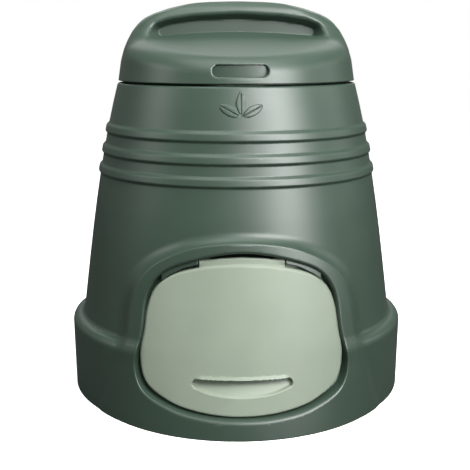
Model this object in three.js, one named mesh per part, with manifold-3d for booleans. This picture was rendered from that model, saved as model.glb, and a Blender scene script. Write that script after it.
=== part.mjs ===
// A free-standing garden compost bin in millimetres, +Z up, its door towards -Y.
// It is a ribbed conical hull on a plinth ring, a lift-off lid with a handle ridge, and a
// hinged flap over the emptying opening, which hangs on two short pins.
import * as THREE from "three";
import { mergeVertices } from "three/addons/utils/BufferGeometryUtils.js";
import Module from "manifold-3d";

const wasm = await Module();
wasm.setup();

// Driving dimensions.
const WALL = 4; // wall of every moulding
const GAP = 0.3; // between pieces that touch
const AXIS_Y = 11; // the hull's axis, measured from the middle of the whole footprint

// Hull: plinth ring, curved cone, ribs, and the collar that the lid slips over.
const GROUND_RADIUS = 382;
const PLINTH_RADIUS = 384;
const PLINTH_HEIGHT = 150;
const CONE_FOOT_Z = 198;
const CONE_FOOT_RADIUS = 354.5;
const CONE_DRAFT = 0.13;
const CONE_CURL = 1.85e-7; // how fast the draft grows towards the top
const SHOULDER_Z = 690;
const COLLAR_RADIUS = 250;
const COLLAR_TOP_RADIUS = 247;
const COLLAR_TOP_Z = 742;
const RIB_TOPS = [518, 562, 607];
const RIB_HEIGHT = 24;
const RIB_PROUD = 5;

// Door surround: a face that leans back and is curved in plan.
const FACE_REACH = 406; // in front of the hull's axis, at the ground
const FACE_LEAN = 0.155; // back per millimetre up
const FACE_GROUND_RADIUS = 348;
const FACE_RADIUS = 384;
const FACE_RADIUS_Z = 170; // from here up the radius is constant
const FACE_TOP = 393;
const SEAT_DEPTH = 23.5; // from the face to the seat behind the flap
const SEAT_WIDTH = 12;

// Flap and hinge.
const FLAP_DEPTH = 8; // from the face to the front of the flap
const FLAP_THICKNESS = 14;
const TAB_HALF = 86;
const HINGE_Y = -325;
const HINGE_Z = 350;
const PIN_RADIUS = 3.5;
const PIN_INNER = 70;
const PIN_OUTER = 98;
const KNUCKLE_RADIUS = 8;
const GRIP_DEPTH = 22;

// Lid.
const LID_FOOT_Z = 698;
const LID_FOOT_RADIUS = 266;
const LID_TOP = 872;
const RAMP_FOOT = [262, 743]; // distance from the middle, and height
const RAMP_TOP = [72, 803];
const RIDGE_HALF = 44; // half the thickness of the handle bar
const WEB_HALF = 22; // half the thickness of the web between the hand pockets
const VENT_HALF = 59;
const VENT_LOW = 711;
const VENT_HIGH = 737;

const ROUND = 64; // sides of a full turn
const MIDDLE = 500; // long enough to pass through everything

// Outlines of the door surround, right half from the top down, as [x, z].
const FACE_OUTLINE = [
  [0, 391], [84, 383], [131, 368], [181, 339], [215, 302], [231, 260], [243, 186], [250, 155],
  [303, -1],
];
const LIP_OUTLINE = [
  [0, 373], [91, 358], [160, 328], [191, 285], [205, 204], [219, 131], [204, 82], [144, 52],
  [75, 40], [0, 37],
];
const FLAP_OUTLINE = [
  [0, 348], [86, 339.5], [144, 320], [177, 290], [192, 253], [200, 205], [209, 147], [196, 97],
  [150, 67], [92, 52], [0, 45],
];
const TAB_OUTLINE = [[0, 361], [43, 359], [TAB_HALF, 353], [TAB_HALF, 335]];
const GRIP_OUTLINE = [[0, 119], [90, 119], [101, 110], [98, 100], [60, 88.5], [0, 82]];
const BLOCK_OUTLINE = [
  [TAB_HALF + 1.5, 364], [136, 346], [162, 332], [162, 309], [145, 322], [115, 338.5],
  [TAB_HALF + 1.5, 346.5],
];

// Outlines of a hand pocket in the lid, at the web and at its mouth in the ridge's side.
const POCKET_OUTLINE = [[0, 833], [95, 828], [150, 819.5], [172, 811], [174, 803]];
const MOUTH_OUTLINE = [[0, 856], [95, 850], [150, 839], [190, 824], [191, 803]];

// Solids.

function solid(geometry) {
  const bare = geometry.clone();
  bare.deleteAttribute("normal");
  bare.deleteAttribute("uv");
  const merged = mergeVertices(bare, 1e-3);
  return new wasm.Manifold(new wasm.Mesh({
    numProp: 3,
    vertProperties: merged.attributes.position.array,
    triVerts: new Uint32Array(merged.index.array),
  }));
}

function subPart(name, shape, material) {
  const mesh = shape.getMesh();
  const geometry = new THREE.BufferGeometry();
  geometry.setAttribute("position", new THREE.BufferAttribute(mesh.vertProperties, 3));
  geometry.setIndex(new THREE.BufferAttribute(mesh.triVerts, 1));
  geometry.computeVertexNormals();
  const part = new THREE.Mesh(geometry, material);
  part.name = name;
  return part;
}

// A solid of revolution about Z from [radius, z] pairs that start and end on the axis.
function turned(profile) {
  const points = profile.map(([radius, z]) => new THREE.Vector2(radius, z));
  return new THREE.LatheGeometry(points, ROUND).rotateX(Math.PI / 2);
}

// The same about the hinge line, from [x, radius] pairs.
function turnedAboutHinge(profile) {
  const points = profile.map(([x, radius]) => new THREE.Vector2(radius, x));
  const shape = new THREE.LatheGeometry(points, 24).rotateZ(-Math.PI / 2);
  return solid(shape.translate(0, HINGE_Y, HINGE_Z));
}

// A closed outline of an [x, z] half list, as points of a smooth curve or as straight edges.
function bothSides(half) {
  const right = half.map(([x, z]) => new THREE.Vector3(x, z, 0));
  const left = right.filter((p) => p.x > 0).reverse();
  return right.concat(left.map((p) => new THREE.Vector3(-p.x, p.y, 0)));
}

function smooth(half, count = 56) {
  const curve = new THREE.CatmullRomCurve3(bothSides(half), true, "centripetal");
  return curve.getSpacedPoints(count).slice(0, count);
}

// The outline grown outwards by a distance; it runs clockwise seen from the front.
function grown(outline, distance) {
  const count = outline.length;
  return outline.map((point, i) => {
    const along = outline[(i + 1) % count].clone().sub(outline[(i + count - 1) % count]);
    along.normalize();
    return new THREE.Vector3(point.x - along.y * distance, point.y + along.x * distance, 0);
  });
}

// A prism of an outline in the XZ plane, running along Y between two depths.
function prism(outline, near = -MIDDLE, far = -150) {
  const shape = new THREE.Shape(outline.map((p) => new THREE.Vector2(p.x, p.y)));
  const block = new THREE.ExtrudeGeometry(shape, { depth: far - near, bevelEnabled: false });
  return solid(block.rotateX(Math.PI / 2).translate(0, far, 0));
}

function box(low, high) {
  const size = high.map((value, i) => value - low[i]);
  const shape = new THREE.BoxGeometry(...size);
  return solid(shape.translate(...low.map((value, i) => value + size[i] / 2)));
}

// Hull.

function coneRadius(z) {
  const up = z - CONE_FOOT_Z;
  return CONE_FOOT_RADIUS - CONE_DRAFT * up - CONE_CURL * up ** 3;
}

function ribProfile(top) {
  const foot = top - RIB_HEIGHT;
  return [
    [coneRadius(foot), foot],
    [coneRadius(foot + 5) + RIB_PROUD, foot + 5],
    [coneRadius(top - 5) + RIB_PROUD, top - 5],
    [coneRadius(top), top],
  ];
}

function hullOutside() {
  const cone = [CONE_FOOT_Z, 310, 420].map((z) => [coneRadius(z), z]);
  return solid(turned([
    [0, 0],
    [GROUND_RADIUS, 0],
    [PLINTH_RADIUS, PLINTH_HEIGHT],
    [PLINTH_RADIUS - 3, PLINTH_HEIGHT + 10],
    [PLINTH_RADIUS - 10, PLINTH_HEIGHT + 16.5],
    [PLINTH_RADIUS - 20, PLINTH_HEIGHT + 19],
    [CONE_FOOT_RADIUS + 3.5, PLINTH_HEIGHT + 28],
    ...cone,
    ...RIB_TOPS.flatMap(ribProfile),
    [coneRadius(650), 650],
    [coneRadius(SHOULDER_Z - 3), SHOULDER_Z - 3],
    [coneRadius(SHOULDER_Z) - 3, SHOULDER_Z + 3],
    [COLLAR_RADIUS, SHOULDER_Z + 4],
    [COLLAR_TOP_RADIUS, COLLAR_TOP_Z],
    [0, COLLAR_TOP_Z],
  ]));
}

function hullInside() {
  const cone = [CONE_FOOT_Z, 320, 440, 560, SHOULDER_Z - 8];
  return solid(turned([
    [0, -1],
    [GROUND_RADIUS - WALL, -1],
    [PLINTH_RADIUS - WALL, PLINTH_HEIGHT],
    [PLINTH_RADIUS - 8, PLINTH_HEIGHT + 8],
    [PLINTH_RADIUS - 20, PLINTH_HEIGHT + 14.5],
    [CONE_FOOT_RADIUS - 0.5, PLINTH_HEIGHT + 24],
    ...cone.map((z) => [coneRadius(z) - WALL, z]),
    [COLLAR_RADIUS - WALL, SHOULDER_Z],
    [COLLAR_TOP_RADIUS - WALL, COLLAR_TOP_Z + 1],
    [0, COLLAR_TOP_Z + 1],
  ]));
}

// Everything behind the door surround's face, sunk by a depth.
function behindFace(depth) {
  const heights = [-10, 55, 110, FACE_RADIUS_Z, FACE_TOP + 10];
  const ease = (z) => Math.min(Math.max(z / FACE_RADIUS_Z, 0), 1);
  const radiusAt = (z) => FACE_GROUND_RADIUS + (FACE_RADIUS - FACE_GROUND_RADIUS) * ease(z);
  const rows = heights.map((z) => [radiusAt(z) - depth, z]);
  const shape = turned([[0, heights[0]], ...rows, [0, heights.at(-1)]]);
  const position = shape.attributes.position;
  for (let i = 0; i < position.count; i += 1) {
    const z = position.getZ(i);
    const front = FACE_REACH - FACE_LEAN * z;
    position.setY(i, position.getY(i) + radiusAt(z) - front);
  }
  return solid(shape);
}

function makeHull() {
  const lip = smooth(LIP_OUTLINE);
  const flap = smooth(FLAP_OUTLINE);
  const surround = bothSides(FACE_OUTLINE);
  const above = box([-MIDDLE, -MIDDLE, 0], [MIDDLE, 0, FACE_TOP]);
  const outside = hullOutside().add(prism(surround).intersect(behindFace(0)).intersect(above));
  const inside = hullInside().add(prism(grown(surround, -WALL)).intersect(behindFace(WALL)));
  const swing = turnedAboutHinge([
    [-TAB_HALF - 1, 0], [-TAB_HALF - 1, 12], [-60, 18], [0, 23.5], [60, 18],
    [TAB_HALF + 1, 12], [TAB_HALF + 1, 0],
  ]);
  const hood = turnedAboutHinge([
    [-TAB_HALF - 5, 0], [-TAB_HALF - 5, 16], [-60, 22], [0, 27.5], [60, 22],
    [TAB_HALF + 5, 16], [TAB_HALF + 5, 0],
  ]).intersect(box([-MIDDLE, -MIDDLE, HINGE_Z], [MIDDLE, 0, FACE_TOP]));
  const seat = behindFace(SEAT_DEPTH);
  const seatBack = behindFace(SEAT_DEPTH + WALL);
  const tub = prism(grown(lip, WALL)).subtract(seatBack).add(hood).intersect(outside);
  const block = BLOCK_OUTLINE.map(([x, z]) => new THREE.Vector3(x, z, 0));
  const otherBlock = block.map((p) => new THREE.Vector3(-p.x, p.y, 0)).reverse();
  const blocks = prism(block).add(prism(otherBlock)).intersect(behindFace(FLAP_DEPTH));
  const bore = turnedAboutHinge([
    [-PIN_OUTER - 1, 0], [-PIN_OUTER - 1, PIN_RADIUS + GAP], [PIN_OUTER + 1, PIN_RADIUS + GAP],
    [PIN_OUTER + 1, 0],
  ]);
  return outside.subtract(inside)
    .add(tub)
    .subtract(prism(lip).subtract(seat))
    .subtract(prism(grown(flap, -SEAT_WIDTH)))
    .add(blocks.subtract(seatBack))
    .subtract(swing)
    .subtract(bore);
}

// Flap: a tray with a hand grip near its foot and a tab between the hinge blocks.
function makeFlap() {
  const outline = smooth(FLAP_OUTLINE);
  const grip = smooth(GRIP_OUTLINE, 32);
  const front = behindFace(FLAP_DEPTH);
  const back = behindFace(FLAP_DEPTH + FLAP_THICKNESS);
  const knuckle = (from, to) => turnedAboutHinge([
    [from, 0], [from, KNUCKLE_RADIUS], [to, KNUCKLE_RADIUS], [to, 0],
  ]);
  const bore = turnedAboutHinge([
    [-TAB_HALF - 1, 0], [-TAB_HALF - 1, PIN_RADIUS + GAP], [-PIN_INNER + 1, PIN_RADIUS + GAP],
    [-PIN_INNER + 1, 0],
  ]);
  const tab = prism(bothSides(TAB_OUTLINE));
  const slab = prism(outline).add(tab).intersect(front).subtract(back);
  const hollow = prism(grown(outline, -WALL)).intersect(behindFace(FLAP_DEPTH + WALL));
  const cup = prism(grown(grip, WALL)).intersect(front);
  return slab.subtract(hollow.subtract(tab))
    .add(cup.subtract(behindFace(GRIP_DEPTH + WALL)))
    .subtract(prism(grip).subtract(behindFace(GRIP_DEPTH)))
    .add(knuckle(-TAB_HALF + 0.5, -PIN_INNER + 8))
    .add(knuckle(PIN_INNER - 8, TAB_HALF - 0.5))
    .subtract(bore)
    .subtract(bore.mirror([1, 0, 0]));
}

function makePin(side) {
  const pin = turnedAboutHinge([
    [PIN_INNER, 0], [PIN_INNER, PIN_RADIUS], [PIN_OUTER - 1, PIN_RADIUS], [PIN_OUTER, PIN_RADIUS - 1],
    [PIN_OUTER, 0],
  ]);
  return side > 0 ? pin : pin.mirror([1, 0, 0]);
}

// Lid.

// The lid's outline seen from the front, turned about the axis: [radius, z] from the rim up.
function domeProfile(inset, foot) {
  const rim = [[LID_FOOT_RADIUS, foot], [259, 743], [251.5, 768], [243.5, 786], [231, 808]];
  const crown = [[211, 830.5], [183, 846.5], [151, 857.5], [108, 865.5], [66, 869.5], [0, LID_TOP]];
  const edge = rim.map(([radius, z]) => [radius - inset, z]);
  return [[0, foot], ...edge, ...crown.map(([radius, z]) => [radius, z - inset])];
}

// The lid's section across the handle ridge, as an outline in the YZ plane run along X.
function ridgeSection(half, foot) {
  const right = half.map(([y, z]) => new THREE.Vector2(y, z));
  const left = right.map((p) => new THREE.Vector2(-p.x, p.y)).reverse();
  const base = [new THREE.Vector2(-LID_FOOT_RADIUS - 9, foot), new THREE.Vector2(LID_FOOT_RADIUS + 9, foot)];
  const shape = new THREE.Shape([...base, ...right, ...left]);
  const block = new THREE.ExtrudeGeometry(shape, { depth: 2 * MIDDLE, bevelEnabled: false });
  return solid(block.rotateX(Math.PI / 2).rotateZ(Math.PI / 2).translate(-MIDDLE, 0, 0));
}

function makeLid() {
  const slope = (RAMP_TOP[1] - RAMP_FOOT[1]) / (RAMP_FOOT[0] - RAMP_TOP[0]);
  const edge = LID_FOOT_RADIUS + 9;
  const rampAt = (y) => RAMP_FOOT[1] + slope * (RAMP_FOOT[0] - y);
  const outer = ridgeSection([
    [edge, rampAt(edge)], RAMP_TOP, [60, 813], [51, 830], [RIDGE_HALF, 852], [37, 864], [20, 870.5],
    [6, LID_TOP],
  ], LID_FOOT_Z).intersect(solid(turned(domeProfile(0, LID_FOOT_Z))));
  const underside = (y) => rampAt(y) - WALL * 1.05;
  const inner = ridgeSection([
    [edge, underside(edge)], [110, underside(110)], [WEB_HALF - WALL, underside(110)],
    [WEB_HALF - WALL, LID_TOP - 8], [6, LID_TOP - WALL],
  ], LID_FOOT_Z - 1).intersect(solid(turned(domeProfile(WALL, LID_FOOT_Z - 1))));
  const pocket = wasm.Manifold.hull([
    prism(bothSides(POCKET_OUTLINE), -WEB_HALF - GAP, -WEB_HALF),
    prism(bothSides(MOUTH_OUTLINE), -RAMP_TOP[0] - GAP, -RAMP_TOP[0]),
  ]);
  const ventRadius = (VENT_HIGH - VENT_LOW) / 2;
  const ventMiddle = (VENT_HIGH + VENT_LOW) / 2;
  const vent = new THREE.Shape();
  vent.absarc(VENT_HALF - ventRadius, ventMiddle, ventRadius, -Math.PI / 2, Math.PI / 2);
  vent.absarc(ventRadius - VENT_HALF, ventMiddle, ventRadius, Math.PI / 2, 1.5 * Math.PI);
  const ventOutline = vent.getPoints(6).slice(0, -1).map((p) => new THREE.Vector3(p.x, p.y, 0));
  const slot = prism(ventOutline, -MIDDLE, -LID_FOOT_RADIUS + 40);
  return outer.subtract(inner)
    .subtract(pocket)
    .subtract(pocket.mirror([0, 1, 0]))
    .subtract(slot)
    .subtract(slot.mirror([0, 1, 0]));
}

// Materials.

function plastic(color, roughness) {
  return new THREE.MeshStandardMaterial({ color, roughness, metalness: 0 });
}

const darkGreen = plastic(0x55685a, 0.42);
const paleGreen = plastic(0xb4c3ae, 0.45);
const pinGreen = plastic(0x3b453d, 0.5);

const bin = new THREE.Group();
bin.position.y = AXIS_Y;
bin.add(subPart("hull", makeHull(), darkGreen));
bin.add(subPart("lid", makeLid(), darkGreen));
bin.add(subPart("flap", makeFlap(), paleGreen));
bin.add(subPart("hinge_pin_left", makePin(-1), pinGreen));
bin.add(subPart("hinge_pin_right", makePin(1), pinGreen));

const composter = new THREE.Group();
composter.add(bin);

export default composter;
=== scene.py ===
import math

import bpy
import numpy as np
import openvdb
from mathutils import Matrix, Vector


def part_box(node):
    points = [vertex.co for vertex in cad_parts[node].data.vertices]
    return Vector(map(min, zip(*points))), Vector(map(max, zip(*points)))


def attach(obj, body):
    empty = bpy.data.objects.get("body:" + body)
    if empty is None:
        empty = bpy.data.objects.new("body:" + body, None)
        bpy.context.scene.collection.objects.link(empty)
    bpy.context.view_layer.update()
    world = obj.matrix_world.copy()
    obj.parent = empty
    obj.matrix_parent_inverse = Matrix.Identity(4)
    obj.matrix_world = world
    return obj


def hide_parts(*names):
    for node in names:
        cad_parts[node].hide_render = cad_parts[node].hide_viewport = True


# A conical garden compost bin: moulded shells, described by their distance fields in millimetres
# about the hull's axis (front at -Y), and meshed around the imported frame.

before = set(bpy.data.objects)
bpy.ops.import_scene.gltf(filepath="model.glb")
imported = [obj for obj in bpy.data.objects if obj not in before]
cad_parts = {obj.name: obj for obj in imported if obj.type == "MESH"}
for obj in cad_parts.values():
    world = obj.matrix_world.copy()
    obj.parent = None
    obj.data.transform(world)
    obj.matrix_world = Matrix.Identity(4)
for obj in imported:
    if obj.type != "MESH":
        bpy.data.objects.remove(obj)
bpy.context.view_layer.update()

MM = 0.001
VOXEL = 1.6


def box_mm(node):
    low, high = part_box(node)
    return np.array(low) / MM, np.array(high) / MM


hull_high = box_mm("hull")[1]
lid_low, lid_high = box_mm("lid")
pin_low, pin_high = box_mm("hinge_pin_right")

# Driving dimensions, in millimetres and in the hull's frame.
PLINTH_RADIUS = hull_high[0]
AXIS_Y = hull_high[1] - PLINTH_RADIUS
WALL = 4.0

# Hull: plinth ring, curved cone, ribs, leaf sprig and collar.
GROUND_RADIUS = PLINTH_RADIUS - 2
PLINTH_TOP = 169.5
CONE_FOOT_Z = 198.0
CONE_FOOT_RADIUS = 354.5
CONE_DRAFT = 0.13
CONE_CURL = 1.85e-7
RIB_TOPS = (518, 562, 607)
RIB_HEIGHT = 24
RIB_PROUD = 5
SHOULDER_Z = 693
SPRIG_Z = 634
SPRIG_PROUD = 1.8
LEAF_STALK = 4
LEAF_LENGTH = 46
LEAF_HALF = 9
LEAF_GROOVE = 0.9
COLLAR_RADIUS = 250
COLLAR_TOP_RADIUS = 247
COLLAR_TOP_Z = hull_high[2]

# Door surround: a face that leans back and is curved in plan, and the recess in it.
FACE_REACH = 406  # in front of the hull's axis, at the ground
FACE_LEAN = 0.155  # back per millimetre up
FACE_GROUND_RADIUS = 348
FACE_RADIUS = 384
FACE_RADIUS_Z = 170  # from here up the radius is constant
SEAT_DEPTH = 23.5
SEAT_WIDTH = 12

# Flap and hinge, with depths measured behind the surround's face.
FLAP_DEPTH = 8
FLAP_THICKNESS = 14
TRAY_TOP = 335
TAB_HALF = 86
HINGE_Y = (pin_low[1] + pin_high[1]) / 2 - AXIS_Y
HINGE_Z = (pin_low[2] + pin_high[2]) / 2
PIN_RADIUS = (pin_high[2] - pin_low[2]) / 2
PIN_GAP = 0.3
KNUCKLE_RADIUS = 8
KNUCKLE_X = 73.75
KNUCKLE_HALF = 11.75
TAB_BACK = 3.5
GRIP_DEPTH = 22
BROW_PROUD = 3.2
BROW_HEIGHT = 7.5

# Lid: a dome cut by two ramps, which leave a handle ridge along X.
LID_FOOT_RADIUS = lid_high[0]
LID_FOOT_Z = lid_low[2]
LID_TOP = lid_high[2]
RIDGE_HALF = 44
RAMP_FOOT = 262
RAMP_FOOT_Z = 743
RAMP_TOP = 72
RAMP_TOP_Z = 803
RAMP_CROWN = 8  # how far the ramp drops at CROWN_HALF from the middle
CROWN_HALF = 165
EDGE_SOFT = 26
CREST_SOFT = 2
POCKET_TAPER = 0.42
WEB_HALF = 22
VENT_HALF = 56
VENT_LOW = 712.5
VENT_HIGH = 735
VENT_RIM = 7
VENT_DEPTH = 9

# Outlines seen from the front, right half from the top down, as (x, z).
FACE_OUTLINE = (
    (0, 391), (84, 383), (131, 368), (181, 339), (215, 302), (231, 260), (243, 186), (250, 155),
    (275, 80), (303, -1), (310, -40),
)
LIP_OUTLINE = (
    (0, 373), (91, 358), (160, 328), (191, 285), (205, 204), (219, 131), (204, 82), (144, 52),
    (75, 40), (0, 37),
)
FLAP_OUTLINE = (
    (0, 348), (86, 339.5), (144, 320), (177, 290), (192, 253), (200, 205), (209, 147), (196, 97),
    (150, 67), (92, 52), (0, 45),
)
TAB_OUTLINE = ((0, 361), (43, 359), (TAB_HALF, 353), (TAB_HALF, 335))
GRIP_TOP = 119
GRIP_FOOT = 82
GRIP_CORNERS = (
    (0, GRIP_TOP, 0), (101, GRIP_TOP, 9), (101, 103, 7), (70, 90.5, 150), (0, GRIP_FOOT, 250),
)
BLOCK_OUTLINE = (
    (TAB_HALF + 1.5, 364), (136, 346), (162, 332), (162, 309), (145, 322), (115, 338.5),
    (TAB_HALF + 1.5, 346.5),
)
POCKET_CORNERS = (
    (0, 833, 200), (95, 828, 200), (150, 819.5, 100), (174, 810.5, 7), (174, 700, 0), (0, 700, 0),
)


# Curves and outlines.

def both_sides(half):
    """A closed outline from its right half."""
    return list(half) + [(-corner[0], *corner[1:]) for corner in reversed(half) if corner[0] > 0]


def smooth(points, steps=8):
    """A closed centripetal Catmull-Rom curve through the points."""
    points = np.array(points, float)
    count = len(points)
    curve = []
    for i in range(count):
        p = [points[(i + k - 1) % count] for k in range(4)]
        t = [0.0]
        for a, b in zip(p, p[1:]):
            t.append(t[-1] + np.linalg.norm(b - a) ** 0.5)
        for s in np.arange(steps) / steps:
            u = t[1] + (t[2] - t[1]) * s
            a = [
                ((t[k + 1] - u) * p[k] + (u - t[k]) * p[k + 1]) / (t[k + 1] - t[k])
                for k in range(3)
            ]
            b = [
                ((t[k + 2] - u) * a[k] + (u - t[k]) * a[k + 1]) / (t[k + 2] - t[k])
                for k in range(2)
            ]
            curve.append(((t[2] - u) * b[0] + (u - t[1]) * b[1]) / (t[2] - t[1]))
    return np.array(curve)


def rounded(corners, steps=6):
    """A closed outline of (a, b, fillet radius) corners, each replaced by its arc."""
    count = len(corners)
    outline = []
    for i, (a, b, radius) in enumerate(corners):
        here = np.array((a, b), float)
        to_last = np.array(corners[i - 1][:2], float) - here
        to_next = np.array(corners[(i + 1) % count][:2], float) - here
        to_last /= np.linalg.norm(to_last)
        to_next /= np.linalg.norm(to_next)
        half = math.acos(max(-1.0, min(1.0, float(to_last @ to_next)))) / 2
        if radius == 0 or math.cos(half) < 1e-3:
            outline.append(here)
            continue
        middle = (to_last + to_next) / np.linalg.norm(to_last + to_next)
        centre = here + middle * radius / math.sin(half)
        start = here + to_last * radius / math.tan(half) - centre
        end = here + to_next * radius / math.tan(half) - centre
        for s in np.arange(steps + 1) / steps:
            spoke = start * (1 - s) + end * s
            outline.append(centre + spoke * radius / np.linalg.norm(spoke))
    return np.array(outline)


class Outline:
    """Distance to a closed outline, negative inside, kept on a grid and read between its points."""

    def __init__(self, points, low, high, step=1.0):
        self.low = np.array(low, float)
        self.step = step
        size = np.ceil((np.array(high) - self.low) / step).astype(int) + 1
        a = (self.low[0] + step * np.arange(size[0]))[:, None]
        b = (self.low[1] + step * np.arange(size[1]))[None, :]
        nearest = np.full(size, 1e12)
        inside = np.zeros(size, bool)
        for (a0, b0), (a1, b1) in zip(points, np.roll(points, -1, axis=0)):
            da, db = a1 - a0, b1 - b0
            along = np.clip(((a - a0) * da + (b - b0) * db) / max(da * da + db * db, 1e-9), 0, 1)
            nearest = np.minimum(nearest, (a - a0 - along * da) ** 2 + (b - b0 - along * db) ** 2)
            if db:
                crosses = (b0 > b) != (b1 > b)
                inside ^= crosses & (a < a0 + (b - b0) * da / db)
        self.values = (np.sqrt(nearest) * np.where(inside, -1, 1)).astype(np.float32)

    def __call__(self, a, b):
        shape = self.values.shape
        fa = np.clip((a - self.low[0]) / self.step, 0, shape[0] - 1.001)
        fb = np.clip((b - self.low[1]) / self.step, 0, shape[1] - 1.001)
        ia, ib = fa.astype(np.int32), fb.astype(np.int32)
        ta, tb = fa - ia, fb - ib
        flat = self.values.ravel()
        at = ia * shape[1] + ib
        near = flat[at] * (1 - tb) + flat[at + 1] * tb
        far = flat[at + shape[1]] * (1 - tb) + flat[at + shape[1] + 1] * tb
        return near * (1 - ta) + far * ta


# Distance fields: negative inside, in millimetres.

def meet(a, b, radius=0.0):
    """What is in both, its outer edge rounded."""
    if np.isscalar(radius) and radius == 0:
        return np.maximum(a, b)
    corner = np.hypot(np.maximum(a + radius, 0), np.maximum(b + radius, 0))
    return np.minimum(-radius, np.maximum(a, b)) + corner


def join(a, b, radius=0.0):
    """What is in either, its inner corner filled."""
    return -meet(-a, -b, radius)


def cut(a, b, radius=0.0):
    """What is in the first and not in the second, its new edge rounded."""
    return meet(a, -b, radius)


def ease(x, start, end):
    s = np.clip((x - start) / (end - start), 0, 1)
    return s * s * (3 - 2 * s)


# Meshing.

def solve(distance, points, reach):
    """Points moved onto the surface, and the surface's normals there."""
    step = 0.35
    start = points.copy()
    for turn in range(3):
        x, y, z = points.T
        slope = np.stack([
            distance(x + step, y, z) - distance(x - step, y, z),
            distance(x, y + step, z) - distance(x, y - step, z),
            distance(x, y, z + step) - distance(x, y, z - step),
        ], axis=1) / (2 * step)
        if turn < 2:
            square = np.maximum((slope ** 2).sum(axis=1), 0.2)
            points = points - slope * (distance(x, y, z) / square)[:, None]
            moved = points - start
            size = np.linalg.norm(moved, axis=1, keepdims=True)
            points = start + moved * np.minimum(1, reach / np.maximum(size, 1e-9))
    return points, slope / np.maximum(np.linalg.norm(slope, axis=1, keepdims=True), 1e-6)


def skin(name, distance, low, high, voxel):
    """The closed surface where the distance is zero, as a mesh in the row frame."""
    side = 8
    cell = side * voxel
    low = np.array(low, float) - 2 * voxel
    counts = np.ceil((np.array(high) + 2 * voxel - low) / cell).astype(int)
    blocks = np.indices(counts).reshape(3, -1).T
    centres = low + (blocks + 0.5) * cell - voxel / 2
    blocks = blocks[distance(*centres.T) < cell * 1.15]
    grid = openvdb.FloatGrid()
    grid.background = 3 * voxel
    grid.gridClass = openvdb.GridClass.LEVEL_SET
    steps = np.arange(side) * voxel
    for start in range(0, len(blocks), 2000):
        group = blocks[start:start + 2000]
        corner = low + group * cell
        x = (corner[:, 0, None] + steps)[:, :, None, None]
        y = (corner[:, 1, None] + steps)[:, None, :, None]
        z = (corner[:, 2, None] + steps)[:, None, None, :]
        x, y, z = np.broadcast_arrays(x, y, z)
        values = distance(x.ravel(), y.ravel(), z.ravel()).reshape(-1, side, side, side)
        values = np.clip(values, -3 * voxel, 3 * voxel).astype(np.float32)
        for block, value in zip(group, values):
            grid.copyFromArray(value, ijk=tuple(int(n) for n in block * side))
    points, triangles, quads = grid.convertToPolygons(isovalue=0.0, adaptivity=0.02)
    points, normals = solve(distance, low + points * voxel, voxel * 0.7)
    loops = np.concatenate([triangles.ravel(), quads.ravel()]).astype(np.int32)
    starts = np.concatenate([
        np.arange(len(triangles)) * 3, len(triangles) * 3 + np.arange(len(quads)) * 4,
    ]).astype(np.int32)
    mesh = bpy.data.meshes.new(name)
    mesh.vertices.add(len(points))
    mesh.vertices.foreach_set("co", ((points + (0, AXIS_Y, 0)) * MM).astype(np.float32).ravel())
    mesh.loops.add(len(loops))
    mesh.loops.foreach_set("vertex_index", loops)
    mesh.polygons.add(len(starts))
    mesh.polygons.foreach_set("loop_start", starts)
    mesh.update(calc_edges=True)
    mesh.validate()
    first = mesh.polygons[0]
    if np.dot(first.normal, normals[first.vertices[0]]) < 0:
        mesh.flip_normals()
    mesh.polygons.foreach_set("use_smooth", np.ones(len(mesh.polygons), bool))
    mesh.normals_split_custom_set_from_vertices(normals.astype(np.float32))
    print(name, len(mesh.vertices), "points", len(mesh.polygons), "faces")
    return mesh


def place(name, mesh, node):
    """A piece that rides on the node's body, and takes the node's place."""
    piece = bpy.data.objects.new(name, mesh)
    bpy.context.scene.collection.objects.link(piece)
    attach(piece, node)
    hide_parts(node)


# The door surround's face.

def face_radius(z):
    rise = np.clip(z / FACE_RADIUS_Z, 0, 1)
    return FACE_GROUND_RADIUS + (FACE_RADIUS - FACE_GROUND_RADIUS) * rise


def depth_of(x, y, z):
    """Depth behind the face."""
    radius = face_radius(z)
    middle = radius - (FACE_REACH - FACE_LEAN * z)
    return (radius - np.hypot(x, y - middle)) * 0.985


FRONT_LOW, FRONT_HIGH = (-345, -60), (345, 440)
face_outline = Outline(smooth(both_sides(FACE_OUTLINE)), FRONT_LOW, FRONT_HIGH)
lip_outline = Outline(smooth(both_sides(LIP_OUTLINE)), FRONT_LOW, FRONT_HIGH)
flap_outline = Outline(smooth(both_sides(FLAP_OUTLINE)), FRONT_LOW, FRONT_HIGH)
tab_outline = Outline(np.array(both_sides(TAB_OUTLINE)), FRONT_LOW, FRONT_HIGH)
grip_outline = Outline(rounded(both_sides(GRIP_CORNERS)), FRONT_LOW, FRONT_HIGH)
block_corners = [(x, z, 1.5) for x, z in BLOCK_OUTLINE]
block_outline = Outline(rounded(block_corners), (0, 280), FRONT_HIGH, 0.5)


def from_hinge(y, z):
    return np.hypot(y - HINGE_Y, z - HINGE_Z)


# Hull.

def cone_radius(z):
    up = z - CONE_FOOT_Z
    return CONE_FOOT_RADIUS - CONE_DRAFT * up - CONE_CURL * up ** 3


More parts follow.
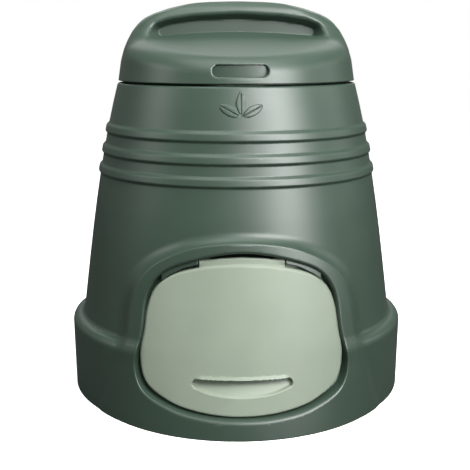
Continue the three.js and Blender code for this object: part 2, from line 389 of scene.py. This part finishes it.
def hull_profile():
    corners = [(0, -60, 0), (GROUND_RADIUS - 1.6, -60, 0), (PLINTH_RADIUS, PLINTH_TOP, 17)]
    corners += [(CONE_FOOT_RADIUS + 4.3, PLINTH_TOP, 9)]
    corners += [(cone_radius(z), z, 0) for z in (200, 250, 310, 370, 430)]
    for top in RIB_TOPS:
        foot = top - RIB_HEIGHT
        corners += [
            (cone_radius(foot), foot, 3), (cone_radius(foot + 4) + RIB_PROUD, foot + 5, 4),
            (cone_radius(top - 6) + RIB_PROUD, top - 6, 5), (cone_radius(top), top, 3),
        ]
    corners += [
        (cone_radius(650), 650, 0), (cone_radius(SHOULDER_Z) - 0.2, SHOULDER_Z, 5),
        (COLLAR_RADIUS, SHOULDER_Z + 1, 3), (COLLAR_TOP_RADIUS, COLLAR_TOP_Z + 40, 0),
        (0, COLLAR_TOP_Z + 40, 0),
    ]
    return rounded(corners)


hull_turned = Outline(hull_profile(), (200, -20), (400, 770))


def swing_room(x, y, z):
    """The space that the tab sweeps about the hinge."""
    across = np.abs(x)
    radius = np.interp(across, (0, 60, TAB_HALF + 1), (23.5, 18, 12))
    return meet(from_hinge(y, z) - radius, across - TAB_HALF - 1, 1)


def leaf(x, z, turn):
    """A pointed leaf with a groove along its middle, growing out of the sprig's foot."""
    along = x * math.sin(turn) + (z - SPRIG_Z) * math.cos(turn) - LEAF_STALK - LEAF_LENGTH / 2
    across = np.abs(x * math.cos(turn) - (z - SPRIG_Z) * math.sin(turn))
    bow = (LEAF_LENGTH ** 2 / 4 - LEAF_HALF ** 2) / (2 * LEAF_HALF)
    blade = np.hypot(along, across + bow) - bow - LEAF_HALF
    return np.maximum(blade, LEAF_GROOVE - across)


def sprig(x, z):
    """Three leaves, in place of any lettering on the hull's front."""
    leaves = [leaf(x, z, math.radians(turn)) for turn in (-62, 0, 62)]
    return np.minimum(np.minimum(*leaves[:2]), leaves[2])


def hull_distance(x, y, z):
    base = hull_turned(np.hypot(x, y), z)
    base = np.where(y < -200, join(base, meet(sprig(x, z), base - SPRIG_PROUD, 1), 0.8), base)
    depth = depth_of(x, y, z)
    crisp = ease(z, 285, 350)
    face = meet(face_outline(x, z), -depth, 9 - 6.5 * crisp)
    front = y < -100
    blend = 12 + 8 * ease(z, 120, 190)
    outer = np.where(front, join(base, face, blend), base)
    lip = (lip_outline(x, z) + 0.4 * np.maximum(depth, 0)) / 1.08
    recess = meet(lip, depth - SEAT_DEPTH, 3)
    outer = np.where(front, cut(outer, recess, 4), outer)
    outer = np.where(front, cut(outer, swing_room(x, y, z), 1.5), outer)
    shell = np.maximum(outer, -outer - WALL)
    opening = flap_outline(x, z) + SEAT_WIDTH
    shell = np.where(front, cut(shell, opening, 1.2), shell)
    block = meet(block_outline(np.abs(x), z), FLAP_DEPTH - depth, 1.5)
    block = np.maximum(block, depth - SEAT_DEPTH - WALL)
    bore = np.maximum(from_hinge(y, z) - PIN_RADIUS - PIN_GAP, np.abs(x) - pin_high[0] - 1)
    block = cut(cut(block, swing_room(x, y, z)), bore)
    shell = np.where(front, join(shell, block, 1.5), shell)
    shell = meet(shell, -z, 1.2)
    return meet(shell, z - COLLAR_TOP_Z, 1.2)


# Flap.

def flap_distance(x, y, z):
    depth = depth_of(x, y, z)
    outline = join(flap_outline(x, z), tab_outline(x, z), 2)
    brow = np.clip((GRIP_TOP + BROW_HEIGHT - z) / BROW_HEIGHT, 0, 1)
    brow = BROW_PROUD * (z > GRIP_TOP - 2) * brow * ease(np.abs(x), 96, 82)
    body = meet(flap_outline(x, z), (FLAP_DEPTH - brow - depth) * 0.93, 4.5)
    tab = meet(tab_outline(x, z), FLAP_DEPTH + TAB_BACK - depth, 2)
    body = join(body, tab, 0.8)
    body = meet(body, depth - FLAP_DEPTH - FLAP_THICKNESS, 1)
    hollow = meet(outline + WALL, FLAP_DEPTH + WALL - depth, 3)
    hollow = np.maximum(hollow, z - TRAY_TOP)
    body = cut(body, hollow, 0.8)
    up = np.clip((z - GRIP_FOOT) / (GRIP_TOP - GRIP_FOOT), 0, 1)
    floor = FLAP_DEPTH + (GRIP_DEPTH - FLAP_DEPTH) * (1 - (1 - up) ** 2)
    cup_depth = np.maximum(depth - floor - WALL, FLAP_DEPTH + 1 - depth)
    cup = meet(grip_outline(x, z) - WALL, cup_depth, 2)
    body = join(body, cup, 2)
    scoop = meet(grip_outline(x, z), (depth - floor) * 0.8, 3)
    body = cut(body, scoop, 1 + 2 * ease(z, GRIP_TOP - 4, GRIP_TOP - 12))
    across = np.abs(x)
    beside = np.abs(across - KNUCKLE_X) - KNUCKLE_HALF
    knuckle = meet(from_hinge(y, z) - KNUCKLE_RADIUS, beside, 0.8)
    body = join(body, knuckle, 1.5)
    bore = np.maximum(from_hinge(y, z) - PIN_RADIUS - PIN_GAP, pin_low[0] - 1 - across)
    return cut(body, bore)


# Lid.

def lid_section():
    """The lid across its handle ridge: distance from the middle plane, and height."""
    slope = (RAMP_TOP_Z - RAMP_FOOT_Z) / (RAMP_FOOT - RAMP_TOP)
    edge, base = 320, 600
    corners = [
        (0, base, 0), (edge, base, 0), (edge, RAMP_FOOT_Z - slope * (edge - RAMP_FOOT), 0),
        (RAMP_TOP, RAMP_TOP_Z - 1, 50), (54, 826, 0), (RIDGE_HALF, 857, 10), (30, 869, 14),
        (0, LID_TOP, 0),
    ]
    return rounded(both_sides(corners))


def lid_dome():
    """The lid's outline seen from the front: radius and height."""
    corners = [(0, 600, 0), (LID_FOOT_RADIUS + 12, 600, 0)]
    crest = (
        (LID_FOOT_RADIUS, LID_FOOT_Z), (259, 743), (251.5, 768), (243.5, 786), (231, 808),
        (211, 830.5), (183, 846.5), (151, 857.5), (108, 865.5), (66, 869.5),
    )
    corners += [(x, z, 85) for x, z in crest]
    return rounded(both_sides(corners + [(0, LID_TOP, 0)]))


lid_turned = Outline(lid_dome(), (0, 640), (300, 900))
lid_across = Outline(lid_section(), (0, 640), (300, 900))
pocket_outline = Outline(rounded(both_sides(POCKET_CORNERS)), (-290, 640), (290, 900))


def lid_distance(x, y, z):
    across = np.abs(y)
    crown = RAMP_CROWN * (x / CROWN_HALF) ** 2
    off_crest = np.maximum(ease(z, 815, 780), ease(np.abs(x), 80, 200))
    soft = CREST_SOFT + (EDGE_SOFT - CREST_SOFT) * off_crest
    outer = meet(lid_turned(np.hypot(x, y), z), lid_across(across, z + crown), soft)
    behind = across - WEB_HALF
    pocket = (pocket_outline(x, z) - POCKET_TAPER * behind) / math.hypot(1, POCKET_TAPER)
    pocket = meet(meet(pocket, RAMP_TOP_Z - crown - z, 9), -behind, 1.6)
    outer = cut(outer, pocket, 8)
    shell = np.maximum(outer, -outer - WALL)
    middle = (VENT_LOW + VENT_HIGH) / 2
    half = (VENT_HIGH - VENT_LOW) / 2
    vent = np.hypot(np.maximum(np.abs(x) - VENT_HALF + half, 0), z - middle) - half
    vent = np.maximum(vent, 200 - across)
    rim = np.maximum(np.maximum(vent - VENT_RIM, outer + 1), -outer - VENT_DEPTH)
    shell = cut(np.minimum(shell, rim), vent, 4.5)
    return meet(shell, LID_FOOT_Z - z, 1.5)


# Materials.

def plastic(name, colour, roughness, shine, mottle=0.05):
    """Satin moulded plastic: a fine grain, and a soft variation of colour and gloss."""
    material = bpy.data.materials.new(name)
    material.use_nodes = True
    tree = material.node_tree
    shader = tree.nodes["Principled BSDF"]
    coords = tree.nodes.new("ShaderNodeTexCoord")
    grain = tree.nodes.new("ShaderNodeTexNoise")
    grain.inputs["Scale"].default_value = 900
    grain.inputs["Detail"].default_value = 3
    bump = tree.nodes.new("ShaderNodeBump")
    bump.inputs["Strength"].default_value = 0.12
    bump.inputs["Distance"].default_value = 0.0002
    cloud = tree.nodes.new("ShaderNodeTexNoise")
    cloud.inputs["Scale"].default_value = 9
    cloud.inputs["Detail"].default_value = 4
    tint = tree.nodes.new("ShaderNodeValToRGB")
    tint.color_ramp.elements[0].position = 0.3
    tint.color_ramp.elements[1].position = 0.7
    tint.color_ramp.elements[0].color = (*[c * (1 - mottle) for c in colour], 1)
    tint.color_ramp.elements[1].color = (*[c * (1 + mottle) for c in colour], 1)
    gloss = tree.nodes.new("ShaderNodeMapRange")
    gloss.inputs["To Min"].default_value = roughness - 0.03
    gloss.inputs["To Max"].default_value = roughness + 0.03
    shader.inputs["Specular IOR Level"].default_value = shine
    link = tree.links.new
    link(coords.outputs["Object"], grain.inputs["Vector"])
    link(coords.outputs["Object"], cloud.inputs["Vector"])
    link(grain.outputs["Fac"], bump.inputs["Height"])
    link(bump.outputs["Normal"], shader.inputs["Normal"])
    link(cloud.outputs["Fac"], tint.inputs["Fac"])
    link(tint.outputs["Color"], shader.inputs["Base Color"])
    link(cloud.outputs["Fac"], gloss.inputs["Value"])
    link(gloss.outputs["Result"], shader.inputs["Roughness"])
    return material


dark_green = plastic("dark_green_plastic", (0.041, 0.075, 0.051), 0.42, 0.68)
pale_green = plastic("pale_green_plastic", (0.345, 0.408, 0.32), 0.48, 0.4)
pin_green = plastic("pin_plastic", (0.04, 0.055, 0.043), 0.5, 0.5)


# The object.

PIECES = (
    ("hull_shell", hull_distance, "hull", dark_green),
    ("lid_shell", lid_distance, "lid", dark_green),
    ("flap_panel", flap_distance, "flap", pale_green),
)
for name, distance, node, material in PIECES:
    node_low, node_high = box_mm(node)
    axis = (0, AXIS_Y, 0)
    mesh = skin(name, distance, node_low - axis, node_high - axis, VOXEL)
    mesh.materials.append(material)
    place(name, mesh, node)

for side in ("left", "right"):
    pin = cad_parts["hinge_pin_" + side]
    for slot in pin.material_slots:
        slot.material = pin_green


# Stage, light and camera.

def lamp(name, location, size, energy):
    """A soft box that faces the middle of the bin."""
    light = bpy.data.lights.new(name, "AREA")
    light.shape = "RECTANGLE"
    light.size, light.size_y = size
    light.energy = energy
    lamp_object = bpy.data.objects.new(name, light)
    bpy.context.scene.collection.objects.link(lamp_object)
    lamp_object.location = location
    aim = Vector((0, AXIS_Y * MM, 0.5)) - Vector(location)
    lamp_object.rotation_euler = aim.to_track_quat("-Z", "Y").to_euler()
    return lamp_object


def make_floor():
    """A floor that the camera sees white outside the bin; inside the bin its dark grey is painted
    shade, and it is dark to other rays.
    """
    mesh = bpy.data.meshes.new("floor")
    half = 6.0
    corners = [(-half, -half, 0), (half, -half, 0), (half, half, 0), (-half, half, 0)]
    mesh.from_pydata(corners, [], [(0, 1, 2, 3)])
    floor = bpy.data.objects.new("floor", mesh)
    bpy.context.scene.collection.objects.link(floor)
    material = bpy.data.materials.new("floor")
    material.use_nodes = True
    shader = material.node_tree.nodes["Principled BSDF"]
    shader.inputs["Roughness"].default_value = 0.9
    new, link = material.node_tree.nodes.new, material.node_tree.links.new
    path = new("ShaderNodeLightPath")
    where = new("ShaderNodeTexCoord")
    away = new("ShaderNodeVectorMath")
    away.operation = "DISTANCE"
    away.inputs[1].default_value = (0, AXIS_Y * MM, 0)
    outside = new("ShaderNodeMath")
    outside.operation = "GREATER_THAN"
    outside.inputs[1].default_value = (PLINTH_RADIUS - 4) * MM
    seen = new("ShaderNodeMath")
    seen.operation = "MULTIPLY"
    tint = new("ShaderNodeMix")
    tint.data_type = "RGBA"
    # Dark grey: the floor's dim tone to other rays, and painted shade where the camera sees the
    # floor inside the bin.
    tint.inputs["A"].default_value = (0.06, 0.06, 0.06, 1)
    tint.inputs["B"].default_value = (0.95, 0.95, 0.95, 1)
    shader.inputs["Emission Color"].default_value = (1, 1, 1, 1)
    link(where.outputs["Object"], away.inputs[0])
    link(away.outputs["Value"], outside.inputs[0])
    link(outside.outputs["Value"], seen.inputs[0])
    link(path.outputs["Is Camera Ray"], seen.inputs[1])
    link(seen.outputs["Value"], tint.inputs["Factor"])
    link(tint.outputs["Result"], shader.inputs["Base Color"])
    link(seen.outputs["Value"], shader.inputs["Emission Strength"])
    mesh.materials.append(material)


make_floor()

world = bpy.data.worlds.new("studio")
bpy.context.scene.world = world
world.use_nodes = True
sky = world.node_tree
path = sky.nodes.new("ShaderNodeLightPath")
blend = sky.nodes.new("ShaderNodeMapRange")
blend.inputs["To Min"].default_value = 0.2
blend.inputs["To Max"].default_value = 1.0
sky.links.new(path.outputs["Is Camera Ray"], blend.inputs["Value"])
sky.links.new(blend.outputs["Result"], sky.nodes["Background"].inputs["Strength"])
sky.nodes["Background"].inputs["Color"].default_value = (1, 1, 1, 1)
bpy.context.scene.view_settings.view_transform = "Standard"

lamp("key", (0.9, -1.9, 2.0), (1.4, 1.0), 66)
# The strip gives the long highlight without flattening the shading.
lamp("strip", (1.5, -1.95, 1.05), (1.1, 1.6), 68).visible_diffuse = False
lamp("front", (0.5, -2.7, 1.4), (1.0, 0.8), 6)
lamp("top", (0, -0.5, 2.3), (1.8, 1.4), 22)
lamp("back", (0, 2.3, 2.3), (3.2, 1.4), 30)
lamp("left", (-2.2, -0.6, 1.5), (0.9, 1.2), 11)
lamp("right", (2.3, 0.1, 1.3), (0.8, 1.4), 7)

camera_data = bpy.data.cameras.new("camera")
camera_data.lens = 68.6
camera_data.sensor_width = 36
camera = bpy.data.objects.new("camera", camera_data)
bpy.context.scene.collection.objects.link(camera)
CAMERA_DISTANCE = 2.068
CAMERA_HEIGHT = 0.769
CAMERA_PITCH = 0.206
CAMERA_TURN = math.radians(2.0)
camera.location = (
    -CAMERA_DISTANCE * math.sin(CAMERA_TURN),
    AXIS_Y * MM - CAMERA_DISTANCE * math.cos(CAMERA_TURN),
    CAMERA_HEIGHT,
)
camera.rotation_euler = (math.pi / 2 - CAMERA_PITCH, 0, -CAMERA_TURN)
camera_data.shift_x = -1.2 / 470
bpy.context.scene.camera = camera
